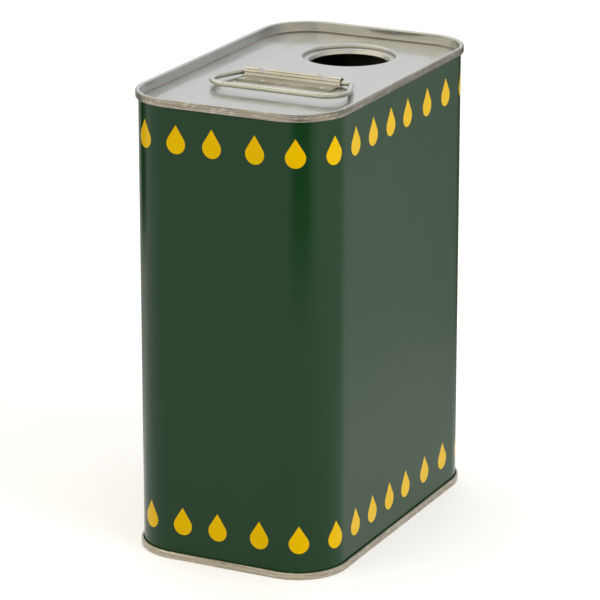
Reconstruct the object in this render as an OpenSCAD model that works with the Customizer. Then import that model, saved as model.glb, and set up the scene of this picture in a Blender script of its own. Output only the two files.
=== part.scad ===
// Rectangular two litre olive oil tin with double-seamed ends, a recessed
// spout opening and a folding wire handle. Millimetres, +Z up, the origin in
// the middle of the surface that the tin stands on. The narrow faces look
// along Y and the wide faces along X.

/* [Body] */
// Height over both seams
tin_h = 186; // [120:1:300]
// Width of the narrow faces, over the body wall
body_w = 86; // [70:1:150]
// Width of the wide faces, over the body wall
body_d = 142.4; // [130:0.1:240]
// Outside radius of the upright corners
corner_r = 20; // [8:0.5:30]
// Thickness of the body sheet
body_t = 0.24; // [0.18:0.01:0.32]
// Width of the welded lap down the back
lap_w = 1.2; // [0.6:0.1:3]
// How far the welded lap stands proud of the body
lap_t = 0.1; // [0.05:0.01:0.2]
// Distance from each seam to the end of the lap
lap_clear = 0.6; // [0.2:0.1:3]

/* [Ends] */
// Thickness of the sheet of both ends
end_t = 0.26; // [0.18:0.01:0.32]
// Depth of the top panel below the top of the seam
top_depth = 4.4; // [4:0.1:9]
// Height of the bottom panel above the surface the tin stands on
bottom_depth = 4; // [4:0.1:9]
// Inside radius where an end's upright wall turns into its panel
foot_r = 0.8; // [0.5:0.1:2]
// Distance from the body wall to the outside of the bottom panel's bead
bead_inset = 11; // [6:0.5:16]
// Corner radius of the bottom panel's bead, at its outside
bead_corner_r = 10; // [5:0.5:15]
// Inside radius of the bead's four bends
bead_r = 0.6; // [0.4:0.1:1]

/* [Double seam] */
// Height of the folded seams
seam_h = 3; // [2.6:0.1:4]
// Clearance between neighbouring layers of a seam
seam_gap = 0.12; // [0.08:0.01:0.2]
// Room over the body's curl, where the sealing compound gathers
curl_room = 0.4; // [0.3:0.01:0.6]
// Clearance from the edge of each hook to the curl around it
hook_gap = 0.3; // [0.15:0.01:0.5]
// Inside radius of the two bends along the seam's edge
crest_r = 0.3; // [0.2:0.01:0.4]
// Thickness of the ring of sealing compound
compound_t = 0.2; // [0.1:0.01:0.25]
// Width of the ring of sealing compound
compound_w = 0.5; // [0.2:0.01:0.6]

/* [Neck] */
// Radius at which the top panel starts to turn down to the neck
neck_r = 19.4; // [18:0.1:24]
// Distance from the neck's axis to the back of the body
neck_from_back = 29.7; // [26:0.1:40]
// Drop from the top panel to the neck's ledge
ledge_drop = 1.5; // [1:0.1:3]
// Inside radius of the neck's opening
opening_r = 15.7; // [12:0.1:16.5]
// Depth of the neck's lip below the top panel
neck_depth = 3.6; // [3:0.1:8]
// Inside radius of the neck's bends
neck_bend_r = 0.62; // [0.3:0.01:0.7]

/* [Handle strap] */
// Length of the strap along its roll
strap_l = 41.4; // [36:0.1:50]
// Thickness of the strap
strap_t = 0.4; // [0.3:0.05:0.6]
// Clearance all round between the wire and the roll
strap_gap = 0.35; // [0.3:0.05:0.6]
// Distance from the roll's axis to the front of the body
strap_from_front = 62.9; // [40:0.1:80]
// Reach of the strap's lower leg in front of the roll's axis
lower_leg = 10; // [8:0.1:15]
// Reach of the strap's upper leg in front of the roll's axis
upper_leg = 9.1; // [6:0.1:15]
// Outside radius where the roll turns into the upper leg
fold_r = 1; // [0.5:0.1:1.5]
// Size of the cut front corners
corner_cut = 1.2; // [0.5:0.1:3]
// Radius of the locating notch in the front edge
notch_r = 1.3; // [0.5:0.1:2.5]
// Distance from the middle of the strap to each pressed-in stop
stop_x = 13; // [10:0.1:14]
// Width of each stop at the top of the roll
stop_w = 5; // [3:0.1:6]
// Depth of each stop
stop_depth = 1.5; // [0.8:0.1:1.7]

/* [Handle wire] */
// Diameter of the wire
wire_d = 2.1; // [1.6:0.1:3]
// How far the wire's bends stand proud of its straight runs
bend_swell = 0.02; // [0.02:0.01:0.05]
// Width of the handle between the middles of the wire
wire_w = 57.4; // [54:0.1:64]
// Reach of the handle from its hinge to the middle of the front bar
wire_reach = 23.5; // [20:0.1:30]
// Angle by which the two legs spread
splay = 21; // [5:1:24]
// Radius of the bends beside the strap, at the middle of the wire
rear_bend_r = 2.6; // [2:0.1:4]
// Radius of the two front corners, at the middle of the wire
front_bend_r = 8.6; // [5:0.1:10]
// How far the wire has slid to one side in the roll
slide = 1; // [0:0.1:1.5]
// Clearance from the wire's ends to the stops, where the wire has slid closer
end_gap = 0.5; // [0.3:0.1:1.5]
// Bevel round the ends of the wire
end_bevel = 0.2; // [0.05:0.05:0.4]
// Angle at which the handle rests above the level
rest_angle = 1.5; // [0:0.5:5]

/* [Hidden] */
$fn = 48;

green = [0.13, 0.22, 0.15];
tinplate = [0.76, 0.77, 0.74];
dull_tinplate = [0.66, 0.64, 0.56];
wire_metal = [0.78, 0.79, 0.76];
compound_grey = [0.45, 0.46, 0.44];

// Where the layers of a seam lie, outward from the outside of the body wall
chuck_out = -body_t - seam_gap;
chuck_in = chuck_out - end_t;
cover_hook = seam_gap;
body_hook = cover_hook + end_t + seam_gap;
outer_wall = body_hook + body_t + seam_gap;
seam_out = outer_wall + end_t;

// Inside radii of the hooks' curls, and the heights of their middles below
// the top of the seam
body_curl_r = body_hook / 2;
cover_curl_r = (outer_wall - cover_hook - end_t) / 2;
body_curl_top = end_t + curl_room;
body_curl_z = body_curl_top + body_t + body_curl_r;
cover_curl_z = seam_h - end_t - cover_curl_r;

panel_z = tin_h - top_depth;
panel_edge = chuck_in - foot_r;
bead_w = 4 * bead_r + 2 * end_t;
bead_outer_w = body_w - 2 * bead_inset;
bead_outer_d = body_d - 2 * bead_inset;
shoulder_r = neck_bend_r + end_t;
ledge_bend_r = ledge_drop - shoulder_r;
neck_y = body_d / 2 - neck_from_back;

wire_r = wire_d / 2;
run_lap = 0.1;
roll_in = wire_r + strap_gap;
roll_out = roll_in + strap_t;
strap_y = strap_from_front - body_d / 2;
hinge_z = panel_z + roll_out;
wire_end_x = stop_x + stop_w / 2 + end_gap + slide;
front_half = wire_w / 2 - front_bend_r;
leg_l = (wire_reach - rear_bend_r * (1 - sin(splay))
        - front_bend_r * (1 + sin(splay))) / cos(splay);
rear_x = front_half + (front_bend_r - rear_bend_r) * cos(splay)
        - leg_l * sin(splay);

// Flat rectangle with round corners
module rounded(w, d, r) {
    square([w - 2 * r, d], center = true);
    square([w, d - 2 * r], center = true);
    for (x = [r - w / 2, w / 2 - r], y = [r - d / 2, d / 2 - r])
        translate([x, y]) circle(r);
}

// A profile led round a rectangle with round corners. The profile's x is the
// distance outward from the rectangle's edge and its y is the height.
module led_round(w, d, r) {
    for (side = [0:3]) {
        reach = (side % 2 == 0 ? w : d) / 2;
        half_l = (side % 2 == 0 ? d : w) / 2 - r;
        rotate(90 * side) {
            translate([reach, half_l, 0])
                rotate([90, 0, 0])
                    linear_extrude(2 * half_l) children();
            translate([reach - r, half_l, 0])
                rotate_extrude(angle = 90)
                    translate([r, 0]) children();
        }
    }
}

// Straight stretch of sheet in a profile, between two corners
module stretch(x0, z0, x1, z1) {
    translate([min(x0, x1), min(z0, z1)])
        square([abs(x1 - x0), abs(z1 - z0)]);
}

// Quarter bend of sheet in a profile. The signs say which quarter it is.
module bend(x, z, r, t, right, up) {
    reach = r + t;
    translate([x, z]) intersection() {
        difference() {
            circle(reach);
            circle(r);
        }
        stretch(0, 0, right * reach, up * reach);
    }
}

// An end's sheet from its panel up the inside of the body, over the crest,
// down the outside and up again behind the body's hook. The crest is at 0.
module end_profile(depth) {
    crest_z = -end_t - crest_r;
    hook_top = -body_curl_top - body_t - hook_gap;
    bend(panel_edge, foot_r - depth, foot_r, end_t, 1, -1);
    stretch(chuck_in, foot_r - depth, chuck_out, crest_z);
    bend(chuck_out + crest_r, crest_z, crest_r, end_t, -1, 1);
    stretch(chuck_out + crest_r, -end_t, outer_wall - crest_r, 0);
    bend(outer_wall - crest_r, crest_z, crest_r, end_t, 1, 1);
    stretch(outer_wall, crest_z, seam_out, -cover_curl_z);
    for (right = [-1, 1])
        bend(cover_hook + end_t + cover_curl_r, -cover_curl_z,
             cover_curl_r, end_t, right, -1);
    stretch(cover_hook, -cover_curl_z, cover_hook + end_t, hook_top);
}

// The body's curl and hook, with the seam's crest at 0
module hook_profile() {
    for (right = [-1, 1])
        bend(body_curl_r, -body_curl_z, body_curl_r, body_t, right, 1);
    stretch(body_hook, -body_curl_z, body_hook + body_t,
            end_t + hook_gap - seam_h);
}

// The sealing compound over the body's curl, with the seam's crest at 0
module compound_profile() {
    middle = (chuck_out + outer_wall) / 2;
    top = -end_t - (curl_room - compound_t) / 2;
    stretch(middle - compound_w / 2, top - compound_t,
            middle + compound_w / 2, top);
}

module end_ring(depth) {
    led_round(body_w, body_d, corner_r) end_profile(depth);
}

module end_panel_outline() {
    rounded(body_w + 2 * panel_edge, body_d + 2 * panel_edge,
            corner_r + panel_edge);
}

// The neck pressed down out of the top panel, whose top is at 0
module neck_profile() {
    wall_x = neck_r - shoulder_r;
    ledge_x = wall_x - ledge_bend_r;
    lip_x = opening_r + shoulder_r;
    bend(neck_r, -shoulder_r, neck_bend_r, end_t, -1, 1);
    bend(ledge_x, -shoulder_r, ledge_bend_r, end_t, 1, -1);
    stretch(lip_x, -ledge_drop - end_t, ledge_x, -ledge_drop);
    bend(lip_x, -ledge_drop - shoulder_r, neck_bend_r, end_t, -1, 1);
    stretch(opening_r, -neck_depth, opening_r + end_t,
            -ledge_drop - shoulder_r);
}

// The bottom panel's bead, from its outside inward, with the panel's outer
// face at 0
module bead_profile() {
    reach = bead_r + end_t;
    bend(0, -reach, bead_r, end_t, -1, 1);
    for (right = [-1, 1])
        bend(-bead_w / 2, -reach, bead_r, end_t, right, -1);
    bend(-bead_w, -reach, bead_r, end_t, 1, 1);
}

// The strap's section across the roll, with the hinge axis at 0
module strap_profile() {
    leg_top = strap_t - roll_in;
    fold_z = leg_top + fold_r;
    fold_y = -sqrt(pow(roll_out + fold_r, 2) - fold_z * fold_z);
    shrink = roll_out / (roll_out + fold_r);
    difference() {
        union() {
            circle(roll_out);
            stretch(-lower_leg, -roll_out, 0, -roll_in);
            stretch(-upper_leg, -roll_in, 0, leg_top);
            difference() {
                polygon([[fold_y, leg_top], [-roll_in, leg_top],
                         [fold_y * shrink, fold_z * shrink]]);
                translate([fold_y, fold_z]) circle(fold_r);
            }
        }
        circle(roll_in);
    }
}

// The wedge cut out of the roll for a stop
module stop_cut() {
    rotate([90, 0, 0])
        linear_extrude(2 * roll_out + strap_t, center = true)
            polygon([[0, roll_out - stop_depth],
                     [stop_w, roll_out + stop_depth],
                     [-stop_w, roll_out + stop_depth]]);
}

// The roll's own metal, pressed down into a V
module stop_sheet() {
    intersection() {
        rotate([90, 0, 0])
            linear_extrude(2 * roll_out, center = true)
                polygon([[-stop_w / 2, roll_out],
                         [0, roll_out - stop_depth],
                         [stop_w / 2, roll_out],
                         [stop_w / 2, roll_out - strap_t],
                         [0, roll_out - stop_depth - strap_t],
                         [-stop_w / 2, roll_out - strap_t]]);
        rotate([0, 90, 0])
            cylinder(h = stop_w, r = roll_out, center = true);
    }
}

// Straight wire along X, with its children at its far end. It runs a little
// way on into the bends, which are a hair thicker, as in bent wire.
module wire_run(l) {
    translate([-run_lap, 0, 0])
        rotate([0, 90, 0]) cylinder(h = l + 2 * run_lap, r = wire_r);
    translate([l, 0, 0]) children();
}

// Wire that turns to the left, with its children at its far end
module wire_turn(r, angle) {
    translate([0, r, 0]) {
        rotate(-90)
            rotate_extrude(angle = angle)
                translate([r, 0]) circle(wire_r + bend_swell);
        rotate(angle) translate([0, -r, 0]) children();
    }
}

// Straight wire along X, out of the bend before it, with a bevelled end
module wire_end(l) {
    rotate([0, 90, 0])
        rotate_extrude()
            polygon([[0, -run_lap], [wire_r, -run_lap],
                     [wire_r, l - end_bevel], [wire_r - end_bevel, l],
                     [0, l]]);
}

// Half of the handle, from the middle of its front bar to its end in the roll
module half_wire() {
    translate([0, -wire_reach, 0])
        wire_run(front_half)
        wire_turn(front_bend_r, 90 + splay)
        wire_run(leg_l)
        wire_turn(rear_bend_r, 90 - splay)
        wire_end(rear_x - wire_end_x);
}

module body_shell() {
    color(green) {
        led_round(body_w, body_d, corner_r) {
            translate([0, tin_h]) hook_profile();
            mirror([0, 1]) hook_profile();
            stretch(-body_t, body_curl_z, 0, tin_h - body_curl_z);
        }
        translate([-lap_w / 2, body_d / 2 - body_t / 2, seam_h + lap_clear])
            cube([lap_w, body_t / 2 + lap_t,
                  tin_h - 2 * (seam_h + lap_clear)]);
    }
}

module top_end() {
    color(tinplate) {
        translate([0, 0, tin_h]) end_ring(top_depth);
        translate([0, 0, panel_z - end_t])
            linear_extrude(end_t) difference() {
                end_panel_outline();
                translate([0, neck_y]) circle(neck_r);
            }
        translate([0, neck_y, panel_z])
            rotate_extrude() neck_profile();
    }
}

module bottom_end() {
    color(tinplate) mirror([0, 0, 1]) {
        end_ring(bottom_depth);
        translate([0, 0, -bottom_depth])
            led_round(bead_outer_w, bead_outer_d, bead_corner_r)
                bead_profile();
        translate([0, 0, -bottom_depth - end_t])
            linear_extrude(end_t) {
                difference() {
                    end_panel_outline();
                    rounded(bead_outer_w, bead_outer_d, bead_corner_r);
                }
                rounded(bead_outer_w - 2 * bead_w, bead_outer_d - 2 * bead_w,
                        bead_corner_r - bead_w);
            }
    }
}

module top_seam_compound() {
    color(compound_grey)
        translate([0, 0, tin_h])
            led_round(body_w, body_d, corner_r) compound_profile();
}

module bottom_seam_compound() {
    color(compound_grey)
        mirror([0, 0, 1])
            led_round(body_w, body_d, corner_r) compound_profile();
}

module handle_strap() {
    color(dull_tinplate)
        translate([0, strap_y, hinge_z]) {
            difference() {
                rotate([90, 0, 90])
                    linear_extrude(strap_l, center = true) strap_profile();
                for (side = [-1, 1]) {
                    translate([side * stop_x, 0, 0]) stop_cut();
                    translate([side * strap_l / 2, -lower_leg, 0])
                        rotate(45)
                            cube([corner_cut * sqrt(2), corner_cut * sqrt(2),
                                  2 * roll_out + strap_t], center = true);
                }
                translate([0, -lower_leg, 0])
                    cylinder(h = 2 * roll_out + strap_t, r = notch_r,
                             center = true);
            }
            for (side = [-1, 1])
                translate([side * stop_x, 0, 0]) stop_sheet();
        }
}

module handle_wire() {
    color(wire_metal)
        translate([slide, strap_y, hinge_z])
            rotate([-rest_angle, 0, 0]) {
                half_wire();
                mirror([1, 0, 0]) half_wire();
            }
}

body_shell();
top_end();
bottom_end();
top_seam_compound();
bottom_seam_compound();
handle_strap();
handle_wire();
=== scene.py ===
import bpy
import numpy as np
from mathutils import Matrix, Vector


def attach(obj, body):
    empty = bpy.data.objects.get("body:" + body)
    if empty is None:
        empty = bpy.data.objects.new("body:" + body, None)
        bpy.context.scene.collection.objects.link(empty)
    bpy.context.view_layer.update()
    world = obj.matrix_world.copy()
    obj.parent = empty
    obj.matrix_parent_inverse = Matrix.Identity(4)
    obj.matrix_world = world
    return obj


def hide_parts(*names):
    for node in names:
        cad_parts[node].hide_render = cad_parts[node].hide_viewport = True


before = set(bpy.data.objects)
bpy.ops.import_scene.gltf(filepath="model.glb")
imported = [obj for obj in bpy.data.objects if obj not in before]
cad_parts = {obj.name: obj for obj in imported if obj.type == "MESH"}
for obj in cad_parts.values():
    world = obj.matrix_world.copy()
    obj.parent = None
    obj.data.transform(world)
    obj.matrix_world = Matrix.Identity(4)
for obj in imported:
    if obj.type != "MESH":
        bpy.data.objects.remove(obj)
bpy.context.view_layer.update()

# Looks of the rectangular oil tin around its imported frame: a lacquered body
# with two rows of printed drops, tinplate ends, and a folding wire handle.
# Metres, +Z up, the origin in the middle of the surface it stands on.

# Two dents in the handle's front bar
DENTS_X = (-0.0197, 0.0215)
DENT_R = 0.0004
DENT_DEPTH = 0.00022

# The tin's sizes, as in the part's source
TIN_H = 0.186
BODY_W = 0.086
BODY_D = 0.1424
CORNER_R = 0.020
BODY_T = 0.00024
END_T = 0.00026
SEAM_GAP = 0.00012
SEAM_H = 0.003
CREST_R = 0.0003
CURL_ROOM = 0.0004
HOOK_GAP = 0.0003
FOOT_R = 0.0008
TOP_DEPTH = 0.0044
NECK_Y = 0.0415
NECK_R = 0.0194
NECK_BEND_R = 0.00062
OPENING_R = 0.0155
LEDGE_DROP = 0.0015
NECK_DEPTH = 0.0036
LIP_BEND_R = 0.0006
LIP_LEAN = np.radians(22)
SAG = 0.0005
FRONT_SAG = 0.00027
WIRE_R = 0.00105
WIRE_W = 0.0574
WIRE_REACH = 0.0235
SPLAY = np.radians(21)
REAR_BEND_R = 0.0026
FRONT_BEND_R = 0.0086
WIRE_END_X = 0.0175
END_BEVEL = 0.0002
SLIDE = 0.0015
DROOP = 0.00028
LIFT_ANGLE = np.radians(0.9)
YAW = np.radians(-0.5)
HINGE = np.array([0, -0.0083, 0.1834])

# Where the seam's layers lie, outward from the outside of the body wall
BODY_HOOK = 2 * SEAM_GAP + END_T
OUTER_WALL = BODY_HOOK + BODY_T + SEAM_GAP
CHUCK_OUT = -BODY_T - SEAM_GAP
CHUCK_IN = CHUCK_OUT - END_T
CURL_R = (OUTER_WALL - SEAM_GAP - END_T) / 2

# The studio's colours, and where the floor is dark: beyond the paper in
# front and at the left, and close behind the tin at the right and the left
# as painted shade on the paper, which only reflections and bounced light
# find: a sector's azimuth, its core's and its edge's half angles, the
# distances where it starts to be dark and where it is, and how dark it gets
PAPER_WHITE = (0.79, 0.79, 0.805, 1)
PAPER_GREY = (0.5, 0.5, 0.49, 1)
PAPER_LIFT = 0.30
ROOM_DARK = (0.02, 0.02, 0.02, 1)
BACK_WHITE = (0.95, 0.96, 0.97, 1)
ROOM_GREY = (0.7, 0.69, 0.66, 1)
SOFT_BOX = (1.28, 1.21, 0.95, 1)
CEILING = (0.58, 0.57, 0.54, 1)
HIGH_BOX = (1.6, 1.55, 1.4, 1)
RIGHT_BOX = (1.05, 0.99, 0.82, 1)
ROOM_AND_SHADE_SECTORS = ((33, 11, 29, 0.42, 0.53, 1), (-96, 6, 17, 0.40, 0.52, 1),
                (160, 45, 75, 0.0, 0.3, 0.38), (-150, 40, 60, 0.0, 0.1, 0.55))

# Finishes
LACQUER_IOR = 1.3
GRAIN = 7000

# Camera, found by fitting the tin's outline and seams to the photograph
CAMERA_AZIMUTH = 26.326
CAMERA_ELEVATION = 17.697
CAMERA_DISTANCE = 7.5699 * TIN_H
CAMERA_SIDE = -0.00742 * TIN_H
CAMERA_RISE = -0.01837 * TIN_H
CAMERA_LENS = 211.17
SENSOR = 36.0


def turned(azimuth, elevation):
    """The unit vector from the tin towards a compass direction, in degrees
    from -Y towards +X, and a height above the level."""
    a, e = np.radians([azimuth, elevation])
    return Vector((np.sin(a) * np.cos(e), -np.cos(a) * np.cos(e), np.sin(e)))


def aimed(place, towards, up=Vector((0, 0, 1))):
    """The matrix of a lamp or camera at a place, looking at a point."""
    back = (place - towards).normalized()
    right = up.cross(back).normalized()
    matrix = Matrix((right, back.cross(right), back)).transposed().to_4x4()
    matrix.translation = place
    return matrix


def set_camera():
    """The photograph's viewpoint: the view's own axes carry the small
    sideways and upward offsets that the fit gave."""
    middle = Vector((0, 0, TIN_H / 2))
    back = turned(CAMERA_AZIMUTH, CAMERA_ELEVATION)
    right = Vector((0, 0, 1)).cross(back).normalized()
    up = back.cross(right)
    offset = right * CAMERA_SIDE + up * CAMERA_RISE
    data = bpy.data.cameras.new("photograph_view")
    data.sensor_fit = "HORIZONTAL"
    data.sensor_width = SENSOR
    data.lens = CAMERA_LENS
    camera = bpy.data.objects.new("photograph_view", data)
    bpy.context.scene.collection.objects.link(camera)
    aim = middle + offset
    camera.matrix_world = aimed(aim + back * CAMERA_DISTANCE, aim)
    bpy.context.scene.camera = camera


def put(tree, kind, sockets=(), **settings):
    """Adds one shader node, sets its properties, and sets or joins its
    input sockets. Returns the node."""
    node = tree.nodes.new("ShaderNode" + kind)
    for name, value in settings.items():
        setattr(node, name, value)
    for key, value in dict(sockets).items():
        if isinstance(value, bpy.types.NodeSocket):
            tree.links.new(value, node.inputs[key])
        else:
            node.inputs[key].default_value = value
    return node


def calc(tree, operation, *values):
    """A Math node on sockets or numbers. Returns its result socket."""
    node = put(tree, "Math", dict(enumerate(values)), operation=operation)
    return node.outputs[0]


def noise(tree, place, scale, detail=2.0, stretch=(1, 1, 1)):
    """Soft noise from 0 to 1 over a place socket, stretched by axis."""
    spread = put(tree, "VectorMath", {0: place, 1: stretch},
                 operation="MULTIPLY").outputs[0]
    return put(tree, "TexNoise", {"Vector": spread, "Scale": scale,
                                  "Detail": detail}).outputs["Fac"]


def ramp(tree, value, low, high, start, end):
    """Carries a value from low..high to start..end, and holds it there."""
    node = put(tree, "MapRange", {"Value": value, "From Min": low,
                                  "From Max": high, "To Min": start,
                                  "To Max": end})
    return node.outputs["Result"]


def blend(tree, share, first, second, mode="MIX"):
    """Mixes two colours by a share from 0 to 1."""
    node = tree.nodes.new("ShaderNodeMix")
    node.data_type = "RGBA"
    node.blend_type = mode
    for socket, value in ((0, share), (6, first), (7, second)):
        if isinstance(value, bpy.types.NodeSocket):
            tree.links.new(value, node.inputs[socket])
        else:
            node.inputs[socket].default_value = value
    return node.outputs[2]


def new_finish(name, **constants):
    """A material with its Principled shader, whose plain numbers are set on
    the shader itself. Returns the material, its tree and the shader."""
    material = bpy.data.materials.new(name)
    material.use_nodes = True
    tree = material.node_tree
    shader = tree.nodes["Principled BSDF"]
    for key, value in constants.items():
        shader.inputs[key.replace("_", " ")].default_value = value
    return material, tree, shader


def bumped(tree, shader, height, distance, strength=1.0, normal=None):
    """Joins a height to the shader as bump, over an earlier bump if given."""
    sockets = {"Height": height, "Distance": distance, "Strength": strength}
    if normal is not None:
        sockets["Normal"] = normal
    result = put(tree, "Bump", sockets).outputs[0]
    tree.links.new(result, shader.inputs["Normal"])
    return result


def rgb(red, green, blue):
    """A colour of 0 to 255 as it looks on a screen, made linear for a
    shader."""
    c = np.array([red, green, blue]) / 255
    linear = np.where(c <= 0.04045, c / 12.92, ((c + 0.055) / 1.055) ** 2.4)
    return (*linear.tolist(), 1.0)


# Printed drops: where their middles lie along the wrap, from the middle of
# the front face towards +X, how high the rows stand, and a drop's own size
DROPS_SHOWN = np.array([-34.4, -18.8, -3.5, 14.7, 31.2, 47.4, 63.3, 78.8,
                        94.7, 110.1, 128.5, 146.2, 163.6]) * 1e-3
DROPS_HIDDEN = 13
LOWER_SHIFT = 0.0013
UPPER_MIDDLE = 0.1708
LOWER_MIDDLE = 0.0163
DROP_H = 0.0114
DROP_R = 0.00398


def drop_mask(tree, across, up, middle):
    """1 inside a printed drop and 0 outside. A drop is a circle and the two
    straight lines that run from its sides to the tip."""
    tip = DROP_H - DROP_R
    lean = float(np.arcsin(DROP_R / tip))
    y = calc(tree, "SUBTRACT", up, middle - DROP_H / 2 + DROP_R)
    x = calc(tree, "ABSOLUTE", across)
    away = calc(tree, "SQRT", calc(tree, "ADD", calc(tree, "MULTIPLY", x, x),
                                   calc(tree, "MULTIPLY", y, y)))
    circle = calc(tree, "SUBTRACT", DROP_R, away)
    side = calc(tree, "SUBTRACT",
                calc(tree, "MULTIPLY", calc(tree, "SUBTRACT", tip, y),
                     float(np.sin(lean))),
                calc(tree, "MULTIPLY", x, float(np.cos(lean))))
    above = calc(tree, "SUBTRACT", y, DROP_R * float(np.sin(lean)))
    inside = calc(tree, "MAXIMUM", circle, calc(tree, "MINIMUM", side, above))
    return ramp(tree, inside, -0.00003, 0.00003, 0.0, 1.0)


def lacquer():
    """Green lacquer over tinplate with yellow printed drops: slightly
    mottled colour, faint orange-peel bump and a slow unevenness."""
    material, tree, shader = new_finish(
        "green_lacquer", Roughness=0.3, IOR=LACQUER_IOR)
    place = put(tree, "TexCoord").outputs["Object"]
    wrap = put(tree, "UVMap", uv_map="print").outputs["UV"]
    split = put(tree, "SeparateXYZ", {"Vector": wrap})
    across, up = split.outputs[0], split.outputs[1]
    drops = calc(tree, "MAXIMUM", drop_mask(tree, across, up, UPPER_MIDDLE),
                 drop_mask(tree, across, up, LOWER_MIDDLE))
    mottle = noise(tree, place, 45, 4)
    green = blend(tree, mottle, rgb(16, 51, 25), rgb(21, 57, 31))
    yellow = blend(tree, mottle, rgb(214, 172, 0), rgb(222, 180, 0))
    colour = blend(tree, drops, green, yellow)
    tree.links.new(colour, shader.inputs["Base Color"])
    rough = ramp(tree, noise(tree, place, 120, 3), 0.3, 0.7, 0.14, 0.2)
    tree.links.new(rough, shader.inputs["Roughness"])
    tree.links.new(blend(tree, drops, (1, 1, 1, 1), (1, 0.8, 0.1, 1)),
                   shader.inputs["Specular Tint"])
    swell = bumped(tree, shader, noise(tree, place, 26, 1), 0.0006, 0.2)
    bumped(tree, shader, noise(tree, place, 1800, 2), 0.00001, 0.3, swell)
    return material


def tin_metal(name, dark, light, smooth, haze, wave=0.3, grain=0.25,
              stretch=(1, 1, 1)):
    """Bright tinplate: metal with clouds in its colour, a slow unevenness,
    and a fine rolling grain stretched by axis, whose crests are smooth and
    whose hollows are dull, so that a sharp reflection has a haze round it."""
    material, tree, shader = new_finish(name, Metallic=1.0)
    place = put(tree, "TexCoord").outputs["Object"]
    clouds = noise(tree, place, 70, 4)
    lines = noise(tree, place, GRAIN, 0, stretch)
    tree.links.new(blend(tree, ramp(tree, clouds, 0.3, 0.7, 0, 1), dark,
                         light), shader.inputs["Base Color"])
    tone = calc(tree, "ADD", lines,
                calc(tree, "MULTIPLY", calc(tree, "SUBTRACT", clouds, 0.5),
                     0.3))
    shine = ramp(tree, tone, 0.42, 0.62, smooth, haze)
    tree.links.new(shine, shader.inputs["Roughness"])
    swell = bumped(tree, shader, noise(tree, place, 60, 1), 0.0002, wave)
    bumped(tree, shader, lines, 0.000001, grain, swell)
    return material


def rolled_seam(name, dark, light, speck):
    """The outside of a double seam: tin dulled by the seaming rolls, with
    fine lines along it, a brownish tone in their hollows, and small
    specks that are brighter."""
    material, tree, shader = new_finish(name, Metallic=1.0)
    place = put(tree, "TexCoord").outputs["Object"]
    lines = noise(tree, place, 60, 2, (1, 1, 60))
    fine = noise(tree, place, 100, 3, (1, 1, 30))
    specks = ramp(tree, noise(tree, place, 420, 3, (1, 1, 2)), 0.56, 0.7, 0, 1)
    colour = blend(tree, ramp(tree, lines, 0.35, 0.65, 0, 1),
                   dark, light)
    colour = blend(tree, calc(tree, "MULTIPLY", specks, 0.5), colour, speck)
    tree.links.new(colour, shader.inputs["Base Color"])
    shine = ramp(tree, fine, 0.3, 0.7, 0.24, 0.42)
    tree.links.new(shine, shader.inputs["Roughness"])
    height = calc(tree, "ADD", lines, calc(tree, "MULTIPLY", fine, 0.5))
    bumped(tree, shader, height, 0.00003, 0.6)
    return material


def compound():
    """Grey sealing compound, dull, with a slightly lumpy surface."""
    material, tree, shader = new_finish("sealing_compound", Roughness=0.8)
    place = put(tree, "TexCoord").outputs["Object"]
    lumps = noise(tree, place, 900, 3)
    colour = blend(tree, lumps, rgb(165, 166, 160), rgb(185, 186, 181))
    tree.links.new(colour, shader.inputs["Base Color"])
    bumped(tree, shader, lumps, 0.00005, 0.5)
    return material


def wrap_outline(marks):
    """Points and outward normals round the body wall, at distances along
    it from the middle of the front face towards +X: straight where the
    faces are flat, and a circle's arc at each corner."""
    half_w, half_d = BODY_W / 2 - CORNER_R, BODY_D / 2 - CORNER_R
    arc = CORNER_R * np.pi / 2
    lengths = [half_w, arc, 2 * half_d, arc, 2 * half_w, arc, 2 * half_d,
               arc, half_w]
    starts = np.concatenate([[0], np.cumsum(lengths)])
    part = np.clip(np.searchsorted(starts, marks, side="right") - 1, 0, 8)
    along = marks - starts[part]
    # Each part's quarter turn, and how far a mark has gone in it
    turn = (part + 1) // 2 * np.pi / 2
    on_arc = part % 2 == 1
    angle = np.where(on_arc, turn - np.pi / 2 + along / CORNER_R, turn)
    normal = np.stack([np.sin(angle), -np.cos(angle)], 1)
    # The corner's middle before each part, or the start of a straight part
    corners = np.array([[0, -half_d], [half_w, -half_d], [half_w, -half_d],
                        [half_w, half_d], [half_w, half_d],
                        [-half_w, half_d], [-half_w, half_d],
                        [-half_w, -half_d], [-half_w, -half_d]])
    heading = np.stack([np.cos(angle), np.sin(angle)], 1)
    base = corners[part] + np.where(on_arc, 0, along)[:, None] * heading
    return base + normal * CORNER_R, normal


WRAP = 2 * (BODY_W + BODY_D - 4 * CORNER_R) + 2 * np.pi * CORNER_R


def wrap_marks(step, arc_steps, extra=()):
    """Distances along the wrap for a mesh's columns: even steps on the
    flat faces, finer ones round the corners, and the extra ones given."""
    half_w, half_d = BODY_W / 2 - CORNER_R, BODY_D / 2 - CORNER_R
    arc = CORNER_R * np.pi / 2
    marks, at = [], 0.0
    for flat in (half_w, 2 * half_d, 2 * half_w, 2 * half_d, half_w):
        count = max(int(np.ceil(flat / step)), 1)
        marks.append(at + np.arange(count) / count * flat)
        at += flat
        if at < WRAP - 1e-6:
            marks.append(at + np.arange(arc_steps) / arc_steps * arc)
            at += arc
    marks = np.concatenate([*marks, np.mod(extra, WRAP)])
    marks = np.unique(marks.round(6))
    return marks[np.concatenate([[True], np.diff(marks) > 1e-5])]


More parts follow.
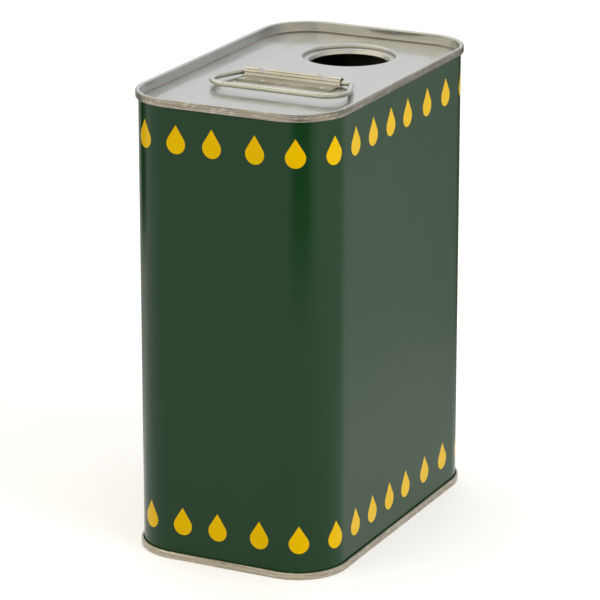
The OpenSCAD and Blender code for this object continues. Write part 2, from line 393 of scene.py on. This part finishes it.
def turtle(start, heading, moves, t):
    """The two faces of a folded sheet's section. A path leaves start in a
    heading, in degrees, and each move is a straight run ("run", length,
    steps) or a bend ("bend", middle radius, angle, steps), to the left if
    the angle is positive. The faces lie t / 2 to each side of the path."""
    points, headings = [np.array(start)], [np.radians(heading)]
    for kind, *move in moves:
        at, facing = points[-1], headings[-1]
        if kind == "run":
            length, steps = move
            way = np.array([np.cos(facing), np.sin(facing)])
            for share in np.arange(1, steps + 1) / steps:
                points.append(at + way * length * share)
                headings.append(facing)
        else:
            radius, angle, steps = move
            side = np.sign(angle)
            left = np.array([-np.sin(facing), np.cos(facing)]) * side
            middle = at + left * radius
            for share in np.arange(1, steps + 1) / steps:
                now = facing + np.radians(angle) * share
                out = np.array([-np.sin(now), np.cos(now)]) * side
                points.append(middle - out * radius)
                headings.append(now)
    points, headings = np.array(points), np.array(headings)
    normal = np.stack([-np.sin(headings), np.cos(headings)], 1)
    return points + normal * t / 2, points - normal * t / 2


def closed_mesh(name, grid):
    """A closed surface from a grid of points that joins up along both of
    its directions. grid is rows by columns by 3."""
    rows, columns = grid.shape[:2]
    number = np.arange(rows * columns).reshape(rows, columns)
    across, down = np.roll(number, -1, 1), np.roll(number, -1, 0)
    quads = np.stack([number, across, np.roll(down, -1, 1), down], -1)
    quads = quads.reshape(-1, 4)
    points = grid.reshape(-1, 3)
    a, b, c, d = (points[quads[:, k]] for k in range(4))
    volume = (a * np.cross(b, c)).sum() + (a * np.cross(c, d)).sum()
    if volume < 0:
        quads = quads[:, ::-1]
    mesh = bpy.data.meshes.new(name)
    mesh.from_pydata(points.tolist(), [], quads.tolist())
    mesh.polygons.foreach_set("use_smooth", np.ones(len(quads), bool))
    mesh.update()
    piece = bpy.data.objects.new(name, mesh)
    bpy.context.scene.collection.objects.link(piece)
    return piece, quads


def drop_marks():
    """Where the drops of the upper row stand along the whole wrap: as
    shown on the front and right faces, and evenly on the others."""
    first, last = DROPS_SHOWN[0], DROPS_SHOWN[-1]
    pitch = (WRAP - last + first) / (DROPS_HIDDEN + 1)
    hidden = last + pitch * np.arange(1, DROPS_HIDDEN + 1)
    return np.mod(np.concatenate([DROPS_SHOWN, hidden]), WRAP)


def halfway(marks):
    """The middles between neighbouring marks round the wrap."""
    ordered = np.sort(marks)
    ahead = np.append(ordered[1:], ordered[0] + WRAP)
    return np.mod((ordered + ahead) / 2, WRAP)


def nearest_drop(columns, drops):
    """For each strip between two columns, the signed distance of its two
    edges from the nearest drop's middle, along the wrap."""
    right = np.append(columns[1:], columns[0] + WRAP)
    middle = (columns + right) / 2
    away = middle[:, None] - drops[None, :]
    away -= WRAP * np.round(away / WRAP)
    chosen = drops[np.abs(away).argmin(1)]
    whole = WRAP * np.round((middle - chosen) / WRAP)
    return columns - chosen - whole, right - chosen - whole


def body_sheet(outside, inside):
    """The body: a sheet's section with a hook turned outward at each end,
    carried round the wrap. Its print map holds the distance from the
    nearest drop's middle and the height."""
    reach = TIN_H / 2 - END_T - CURL_ROOM - BODY_T - BODY_HOOK / 2
    hook = SEAM_H - END_T - HOOK_GAP
    hook -= END_T + CURL_ROOM + BODY_T + BODY_HOOK / 2
    moves = [("run", reach, 60),
             ("bend", (BODY_HOOK + BODY_T) / 2, -180, 10), ("run", hook, 2)]
    inner, outer = turtle((-BODY_T / 2, 0), 90, moves, BODY_T)
    # Up the outer face and back down the inner one, then mirrored below
    section = np.concatenate([outer, inner[::-1], (inner * [1, -1])[1:],
                              (outer * [1, -1])[::-1][:-1]])
    drops = drop_marks()
    shifted = np.mod(drops + LOWER_SHIFT, WRAP)
    columns = wrap_marks(0.006, 24, np.concatenate([halfway(drops),
                                                    halfway(shifted)]))
    base, normal = wrap_outline(columns)
    x, z = section[:, 0], section[:, 1] + TIN_H / 2
    grid = np.empty((len(x), len(columns), 3))
    grid[..., :2] = base + x[:, None, None] * normal
    grid[..., 2] = z[:, None]
    piece, quads = closed_mesh("lacquered_body", grid)
    count = len(columns)
    strip = np.tile(np.arange(count), len(x))
    height = grid[..., 2].ravel()[quads]
    left = quads % count == strip[:, None]
    high = height.mean(1)[:, None] > TIN_H / 2
    across = np.zeros(quads.shape)
    for row, chosen in ((drops, high), (shifted, ~high)):
        edges = [edge[strip][:, None] for edge in nearest_drop(columns, row)]
        across += chosen * np.where(left, *edges)
    layer = piece.data.uv_layers.new(name="print")
    layer.data.foreach_set("uv", np.stack([across, height], -1).ravel())
    # The sheet's inner face and its hooks are bare metal
    wall = (np.abs(x) < BODY_T / 100) & (np.abs(z - TIN_H / 2) < reach)
    printed = (wall & np.roll(wall, -1))[quads.min(1) // count]
    paint(piece, outside, inside)
    piece.data.polygons.foreach_set("material_index",
                                    (~printed).astype(np.int32))
    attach(piece, "tin")
    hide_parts("body_shell")
    return piece


def seam_moves(depth, wall_steps=8):
    """The moves of an end's section from its panel's edge, up inside the
    body, over the crest, down the outside and up behind the body's hook."""
    half = END_T / 2
    crest = END_T + CREST_R
    return [("bend", FOOT_R + half, 90, 10),
            ("run", depth - FOOT_R - crest, wall_steps),
            ("bend", CREST_R + half, -90, 8),
            ("run", OUTER_WALL - CHUCK_OUT - 2 * CREST_R, 2),
            ("bend", CREST_R + half, -90, 8),
            ("run", SEAM_H - END_T - CURL_R - crest, 14),
            ("bend", CURL_R + half, -180, 14),
            ("run", SEAM_H - 2 * END_T - CURL_R - CURL_ROOM - BODY_T
             - HOOK_GAP, 2)]


def neck_moves():
    """The moves of the neck's section, from the lip's lower edge up, where
    it leans inwards, out along the ledge, up again and onto the panel."""
    half = END_T / 2
    up = np.pi / 2 - LIP_LEAN
    lip = LIP_BEND_R + half
    bend = NECK_BEND_R + half
    ledge_bend = LEDGE_DROP - bend
    rise = NECK_DEPTH - LEDGE_DROP - half - lip * (1 - np.cos(up))
    slant = rise / np.sin(up)
    flat = NECK_R - OPENING_R - half - slant * np.cos(up) \
        - lip * np.sin(up) - ledge_bend - bend
    return [("run", slant, 4),
            ("bend", lip, -np.degrees(up), 10),
            ("run", flat, 3),
            ("bend", ledge_bend, 90, 8),
            ("bend", bend, -90, 8)]


def groove(z, middle, width, depth):
    """A shallow rounded groove along the seam: how far its bottom lies
    inward at each height, as a bell curve."""
    return depth * np.exp(-((z - middle) / width) ** 2)


def ripples(columns, seed):
    """Small upright creases in the corners of a pressed end: a few bell
    curves at random places round each corner's arc."""
    draw = np.random.default_rng(seed)
    half_w, half_d = BODY_W / 2 - CORNER_R, BODY_D / 2 - CORNER_R
    arc = CORNER_R * np.pi / 2
    starts = [half_w, half_w + arc + 2 * half_d,
              3 * half_w + 2 * arc + 2 * half_d,
              3 * half_w + 3 * arc + 4 * half_d]
    total = np.zeros_like(columns)
    for start in starts:
        for middle in start + arc * (0.5 + 0.13 * draw.standard_normal(7)):
            width = draw.uniform(0.0004, 0.0009)
            height = draw.uniform(-1.0, 0.6)
            total += height * np.exp(-((columns - middle) / width) ** 2)
    return total


def lid(inside, outside, bend_shade):
    """The top end, one pressed sheet: the neck's section turned round its
    axis, the seam's section carried round the wrap, and between them the
    panel, whose rings run evenly from the one outline to the other. The
    panel has faint waves, and the upright wall creases at its corners."""
    columns = wrap_marks(0.003, 40)
    base, normal = wrap_outline(columns)
    panel_z = TIN_H - TOP_DEPTH
    neck = turtle((OPENING_R + END_T / 2, -NECK_DEPTH),
                  90 - np.degrees(LIP_LEAN), neck_moves(), END_T)
    rim = turtle((CHUCK_IN - FOOT_R, -TOP_DEPTH - END_T / 2), 0,
                 seam_moves(TOP_DEPTH), END_T)
    away = base - [0, NECK_Y]
    around = away / np.linalg.norm(away, axis=1)[:, None]
    crease = ripples(columns, 5)
    faces = []
    for (neck_x, neck_z), (rim_x, rim_z), side in (
            (neck[0].T, rim[0].T, 1), (neck[1].T, rim[1].T, -1)):
        ring = np.empty((len(neck_x), len(columns), 3))
        ring[..., :2] = [0, NECK_Y] + neck_x[:, None, None] * around
        ring[..., 2] = panel_z + neck_z[:, None]
        # A groove that the second seaming roll leaves, and the creases
        outward = np.gradient(rim_z) < 0
        outer = outward & (rim_x > OUTER_WALL / 2)
        dent = np.where(outer, groove(rim_z, -0.0015, 0.0002, 0.00009), 0)
        wall = rim_x < CHUCK_OUT + CREST_R / 2
        low = np.clip((-rim_z - 0.0008) / 0.002, 0, 1) * wall
        low *= np.clip((TOP_DEPTH + rim_z) / 0.0008, 0, 1)
        x = (rim_x - dent)[:, None] + 0.0002 * low[:, None] * crease
        edge = np.empty((len(rim_x), len(columns), 3))
        edge[..., :2] = base + x[..., None] * normal
        edge[..., 2] = TIN_H + rim_z[:, None]
        share = np.linspace(0, 1, 42)[1:-1, None, None]
        panel = ring[-1] * (1 - share) + edge[0] * share
        faces.append(np.concatenate([ring, panel, edge]))
    upper, under = faces
    rings = len(neck[0])
    for face in (upper, under):
        face[:rings + 40, :, 2] -= panel_sag(upper[:rings + 40, :, :2])
    grid = np.concatenate([upper, under[::-1]])
    piece, quads = closed_mesh("pressed_lid", grid)
    # The outside of the seam has its own finish, from the crest down
    number = quads.min(1) // len(columns)
    turned_out = rings + 40 + 10 + 8 + 8 + 2
    seam = (number >= turned_out) & (number < len(upper))
    # Painted shade: the panel's foot and the corner of the ledge get a darker,
    # brownish tin
    foot = rings + 40
    shaded_bend = (number >= foot + 2) & (number < foot + 8)
    shaded_bend |= (number >= 18) & (number < 23)
    paint(piece, inside, outside, bend_shade)
    piece.data.polygons.foreach_set("material_index",
                                    (seam + 2 * shaded_bend).astype(np.int32))
    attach(piece, "tin")
    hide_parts("top_end")
    return piece


def panel_sag(spot):
    """How far the lid's panel lies below flat. It sags from its edge
    inwards and from the handle's strap outwards, most under the handle's
    bar, in the smooth step 3 t t - 2 t t t, and slow sine waves run across
    it."""
    x, y = spot[..., 0], spot[..., 1]
    half_w, half_d = BODY_W / 2 - CORNER_R, BODY_D / 2 - CORNER_R
    corner = np.hypot(np.maximum(np.abs(x) - half_w, 0),
                      np.maximum(np.abs(y) - half_d, 0))
    wall = CORNER_R + CHUCK_IN - FOOT_R - corner
    wall = np.where(corner > 0, wall, CORNER_R + CHUCK_IN - FOOT_R
                    - np.maximum(np.abs(x) - half_w, np.abs(y) - half_d))
    strap = np.hypot(np.maximum(np.abs(x) - 0.0212, 0),
                     np.maximum(np.abs(y + 0.0125) - 0.0065, 0))
    steps = [np.clip(wall / 0.012, 0, 1), np.clip(strap / 0.009, 0, 1)]
    near_wall, near_strap = (t * t * (3 - 2 * t) for t in steps)
    waves = (np.sin(x * 95 + 1.1) * np.cos(y * 61 + 0.4)
             + 0.6 * np.sin(x * 43 - y * 120 + 2.0)) / 1.6
    front = np.clip((-0.0185 - y) / 0.015, 0, 1)
    depth = SAG + FRONT_SAG * front * front * (3 - 2 * front)
    return near_wall * near_strap * (depth + 0.00002 * waves)


def wire_path(step):
    """The middle line of the handle's wire at even steps, from one end to
    the other, in its own plane: straight runs joined by circle arcs."""
    half = WIRE_W / 2 - FRONT_BEND_R
    leg = (WIRE_REACH - REAR_BEND_R * (1 - np.sin(SPLAY))
           - FRONT_BEND_R * (1 + np.sin(SPLAY))) / np.cos(SPLAY)
    rear_x = half + (FRONT_BEND_R - REAR_BEND_R) * np.cos(SPLAY) \
        - leg * np.sin(SPLAY)
    moves = [("run", half), ("bend", FRONT_BEND_R, np.pi / 2 + SPLAY),
             ("run", leg), ("bend", REAR_BEND_R, np.pi / 2 - SPLAY),
             ("run", rear_x - WIRE_END_X)]
    points, ways = [np.array([0, -WIRE_REACH])], [0.0]
    for kind, *move in moves:
        at, way = points[-1], ways[-1]
        length = move[0] if kind == "run" else move[0] * move[1]
        count = max(int(np.ceil(length / step)), 2)
        share = np.arange(1, count + 1) / count
        if kind == "run":
            ahead = np.array([np.cos(way), np.sin(way)])
            points.extend(at + share[:, None] * length * ahead)
            ways.extend([way] * count)
        else:
            radius, angle = move
            middle = at + radius * np.array([-np.sin(way), np.cos(way)])
            now = way + angle * share
            points.extend(middle + radius * np.stack(
                [np.sin(now), -np.cos(now)], 1))
            ways.extend(now)
    points, ways = np.array(points), np.array(ways)
    points = np.concatenate([points[:0:-1] * [-1, 1], points])
    ways = np.concatenate([-ways[:0:-1], ways])
    return points, ways


def handle_bar(material):
    """The folding handle: a circle carried along the wire's middle line,
    with bevelled ends and two small dents that the bending tool left."""
    path, ways = wire_path(0.0004)
    around = np.arange(28) / 28 * 2 * np.pi
    # In the handle's plane: x and y along it, z across it
    left = np.stack([-np.sin(ways), np.cos(ways), 0 * ways], 1)
    out = (np.cos(around)[:, None, None] * left
           + np.sin(around)[:, None, None] * [0, 0, 1]).transpose(1, 0, 2)
    middle = np.concatenate([path, np.zeros((len(path), 1))], 1)
    radius = np.full(out.shape[:2], WIRE_R)
    gone = np.linalg.norm(np.diff(path, axis=0), axis=1)
    length = np.concatenate([[0], np.cumsum(gone)])
    from_end = np.minimum(length, length[-1] - length)
    radius -= np.clip(END_BEVEL - from_end, 0, None)[:, None]
    for x in DENTS_X:
        spot = np.array([x, -WIRE_REACH - WIRE_R * 0.75, WIRE_R * 0.66])
        away = np.linalg.norm(middle[:, None] + out * WIRE_R - spot, axis=2)
        radius -= DENT_DEPTH * np.exp(-(away / DENT_R) ** 2)
    local = middle[:, None] + out * radius[..., None]
    # Lying slightly askew in the roll, on the roll's bottom
    cos, sin = np.cos(YAW), np.sin(YAW)
    local = np.stack([local[..., 0] * cos - local[..., 1] * sin,
                      local[..., 0] * sin + local[..., 1] * cos,
                      local[..., 2]], -1)
    cos, sin = np.cos(LIFT_ANGLE), np.sin(LIFT_ANGLE)
    grid = np.stack([local[..., 0] + SLIDE,
                     local[..., 1] * cos + local[..., 2] * sin,
                     local[..., 2] * cos - local[..., 1] * sin - DROOP], -1)
    piece = tube_mesh("handle_bar", grid + HINGE)
    paint(piece, material)
    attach(piece, "handle")
    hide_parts("handle_wire")
    return piece


def tube_mesh(name, grid):
    """A tube from a grid of rings along it, closed at both ends."""
    rows, count = grid.shape[:2]
    number = np.arange(rows * count).reshape(rows, count)
    across = np.roll(number, -1, 1)
    quads = np.stack([number[:-1], across[:-1], across[1:], number[1:]], -1)
    faces = quads.reshape(-1, 4).tolist()
    faces += [number[0, ::-1].tolist(), number[-1].tolist()]
    points = grid.reshape(-1, 3)
    a, b, c, d = (points[quads.reshape(-1, 4)[:, k]] for k in range(4))
    if (a * np.cross(b, c)).sum() + (a * np.cross(c, d)).sum() < 0:
        faces = [face[::-1] for face in faces]
    mesh = bpy.data.meshes.new(name)
    mesh.from_pydata(points.tolist(), [], faces)
    mesh.polygons.foreach_set("use_smooth", np.ones(len(faces), bool))
    mesh.update()
    piece = bpy.data.objects.new(name, mesh)
    bpy.context.scene.collection.objects.link(piece)
    return piece


def paint(piece, *materials):
    """Gives a piece its materials, in the order of its faces' numbers."""
    piece.data.materials.clear()
    for material in materials:
        piece.data.materials.append(material)


def sector_share(tree, place, azimuth, core, edge, near, far, most):
    """The most in a sector of the floor and 0 outside it: it looks towards
    a compass direction, is whole within the core angle to each side of it
    and gone at the edge angle, and starts between two distances."""
    parts = [put(tree, "VectorMath", {0: place, 1: tuple(turned(angle, 0))},
                 operation="DOT_PRODUCT").outputs["Value"]
             for angle in (azimuth, azimuth + 90)]
    angle = calc(tree, "ABSOLUTE", calc(tree, "ARCTAN2", parts[1], parts[0]))
    away = put(tree, "VectorMath", {0: place},
               operation="LENGTH").outputs["Value"]
    return calc(tree, "MULTIPLY",
                ramp(tree, angle, *np.radians([core, edge]).tolist(), 1, 0),
                ramp(tree, away, near, far, 0, most))


def floor():
    """White paper with the tin's soft shadow. The camera sees the paper
    go on all round. Light that bounces finds it light grey, and where it
    ends, in front and at the left, reflections find the dark room. Close
    behind the tin, at the right and at the left, reflections and bounced
    light find the paper darkened: painted shade."""
    mesh = bpy.data.meshes.new("floor")
    half = 2.5
    corners = [(-half, -half, 0), (half, -half, 0), (half, half, 0),
               (-half, half, 0)]
    mesh.from_pydata(corners, [], [(0, 1, 2, 3)])
    piece = bpy.data.objects.new("floor", mesh)
    bpy.context.scene.collection.objects.link(piece)
    material, tree, shader = new_finish("pale_floor", Roughness=0.9)
    shader.inputs["Specular IOR Level"].default_value = 0.0
    place = put(tree, "TexCoord").outputs["Object"]
    path = put(tree, "LightPath")
    gone = 0.0
    for sector in ROOM_AND_SHADE_SECTORS:
        gone = calc(tree, "ADD", gone, sector_share(tree, place, *sector))
    left = calc(tree, "SUBTRACT", 1.0, calc(tree, "MINIMUM", gone, 1.0))
    seen = calc(tree, "MAXIMUM", path.outputs["Is Camera Ray"],
                path.outputs["Is Transmission Ray"])
    left = calc(tree, "MAXIMUM", left, seen)
    shows = calc(tree, "MAXIMUM", seen, path.outputs["Is Glossy Ray"])
    paper = blend(tree, shows, PAPER_GREY, PAPER_WHITE)
    tree.links.new(blend(tree, left, ROOM_DARK, paper),
                   shader.inputs["Base Color"])
    shader.inputs["Emission Color"].default_value = (1, 1, 1, 1)
    tree.links.new(calc(tree, "MULTIPLY", calc(tree, "MULTIPLY", shows, left),
                        PAPER_LIFT), shader.inputs["Emission Strength"])
    paint(piece, material)


def area_lamp(name, place, towards, size, power, colour=(1, 1, 1)):
    """A soft box of a given width and height, in metres and watts."""
    data = bpy.data.lights.new(name, "AREA")
    data.shape = "RECTANGLE"
    data.size, data.size_y = size
    data.energy = power
    data.color = colour
    lamp = bpy.data.objects.new(name, data)
    bpy.context.scene.collection.objects.link(lamp)
    lamp.matrix_world = aimed(Vector(place), Vector(towards))
    lamp.visible_glossy = False
    return lamp


def facing(tree, way, azimuth, elevation, start, end):
    """How far a direction points to one side: 0 below the cosine start and
    1 above the cosine end."""
    toward = put(tree, "VectorMath",
                 {0: way, 1: tuple(turned(azimuth, elevation))},
                 operation="DOT_PRODUCT").outputs["Value"]
    return ramp(tree, toward, start, end, 0.0, 1.0)


def studio():
    """Even soft light. White paper stands behind the tin with a bright soft
    box high above it, a large warm soft box at the camera's left and a
    weaker one at its right, and the room between them and the ceiling are
    greyer. The two lamps fill in, and metal shows no glint of them. The
    camera sees white all round."""
    world = bpy.data.worlds.new("studio")
    bpy.context.scene.world = world
    world.use_nodes = True
    tree = world.node_tree
    back = tree.nodes["Background"]
    way = put(tree, "TexCoord").outputs["Generated"]
    colour = blend(tree, facing(tree, way, 206, 8, 0.35, 0.7), ROOM_GREY,
                   BACK_WHITE)
    colour = blend(tree, facing(tree, way, -42, 22, 0.5, 0.82), colour,
                   SOFT_BOX)
    colour = blend(tree, facing(tree, way, 58, 18, 0.72, 0.92), colour,
                   RIGHT_BOX)
    colour = blend(tree, facing(tree, way, 0, 90, 0.68, 0.82), colour,
                   CEILING)
    colour = blend(tree, facing(tree, way, 220, 62, 0.86, 0.93), colour,
                   HIGH_BOX)
    path = put(tree, "LightPath")
    seen = calc(tree, "MAXIMUM", path.outputs["Is Camera Ray"],
                path.outputs["Is Transmission Ray"])
    colour = blend(tree, seen, colour, (1, 1, 1, 1))
    tree.links.new(colour, back.inputs["Color"])
    area_lamp("soft_box_left", (-0.85, -1.2, 0.75), (0, 0, 0.1),
              (1.4, 0.95), 2.9)
    area_lamp("soft_box_right", (1.42, -0.25, 0.6), (0, 0, 0.1),
              (1.0, 0.9), 13.5)


scene = bpy.context.scene
scene.view_settings.view_transform = "Standard"

set_camera()
studio()
floor()

tinplate = tin_metal("tinplate", (0.51, 0.51, 0.5, 1),
                     (0.545, 0.55, 0.545, 1), 0.1, 0.45, 0.15, 0.0)
dull_tinplate = tin_metal("strap_tinplate", (0.4, 0.38, 0.33, 1),
                          (0.57, 0.555, 0.5, 1), 0.12, 0.32, 0.5, 0.3,
                          (0.2, 1, 1))
bright_wire = tin_metal("drawn_wire", (0.48, 0.49, 0.45, 1),
                        (0.59, 0.6, 0.55, 1), 0.12, 0.35, 0.5, 0.3,
                        (0.2, 1, 1))
inside_tin = tin_metal("inside_tin", (0.36, 0.32, 0.23, 1),
                       (0.46, 0.42, 0.32, 1), 0.25, 0.45)
# Darker brownish tin: painted shade in the lid's concave bends, the panel's
# foot and the ledge's corner
bend_shade_tin = tin_metal("bend_shade_tin", (0.2, 0.175, 0.14, 1),
                        (0.29, 0.265, 0.22, 1), 0.2, 0.45)
# One seam finish in two copies: the top seam's colours are darkened, which is
# painted shade, and the lower seam's are lighter and warmer, which is painted
# light
seam = rolled_seam("rolled_seam", (0.2, 0.175, 0.14, 1),
                   (0.37, 0.345, 0.305, 1), (0.62, 0.6, 0.56, 1))
lit_low_seam = rolled_seam("lower_seam_painted_light", (0.27, 0.235, 0.18, 1),
                       (0.52, 0.47, 0.385, 1), (0.74, 0.71, 0.64, 1))
sealing = compound()

body_sheet(lacquer(), inside_tin)
lid(tinplate, seam, bend_shade_tin)
handle_bar(bright_wire)
for name, material in (("bottom_end", lit_low_seam),
                       ("handle_strap", dull_tinplate),
                       ("top_seam_compound", sealing),
                       ("bottom_seam_compound", sealing)):
    paint(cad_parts[name], material)

bpy.context.view_layer.update()
